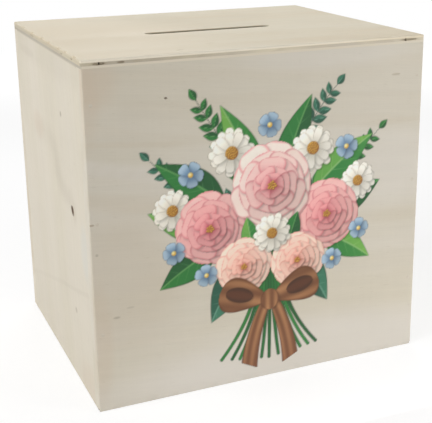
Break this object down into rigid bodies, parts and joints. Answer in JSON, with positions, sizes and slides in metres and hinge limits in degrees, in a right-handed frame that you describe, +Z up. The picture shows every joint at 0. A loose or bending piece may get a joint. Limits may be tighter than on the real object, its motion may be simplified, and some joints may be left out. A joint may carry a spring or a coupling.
{
  "type": "wooden money box",
  "caption": "Pale wooden money box with a plywood lid glued on flush, a coin slot with round ends in the lid and a plywood base that slides out to empty it.",
  "frame": {"origin": "middle of the footprint, on the table", "axes": "+Z up, -Y towards the front with the print, +X to the right as seen from the front, the way the base slides out"},
  "size_m": [0.15, 0.122, 0.145],
  "materials": {
    "boards": "raw, finely sanded",
    "ply_faces": "raw, finely sanded",
    "ply_core": "raw, sawn and sanded edge",
    "brads": "bright wire, heads dressed with wood filler"
  },
  "bodies": {
    "carcass": {"front_board": "boards", "back_board": "boards", "left_board": "boards", "right_board": "boards", "front_brads": "brads", "back_brads": "brads", "lid_upper_ply": "ply_faces", "lid_core_ply": "ply_core", "lid_lower_ply": "ply_faces"},
    "sliding_base": {"base_upper_ply": "ply_faces", "base_core_ply": "ply_core", "base_lower_ply": "ply_faces"}
  },
  "joints": [
    {"name": "base_slide", "type": "slide", "parent": "carcass", "child": "sliding_base", "axis": [1, 0, 0], "range_m": [0, 0.15]}
  ]
}
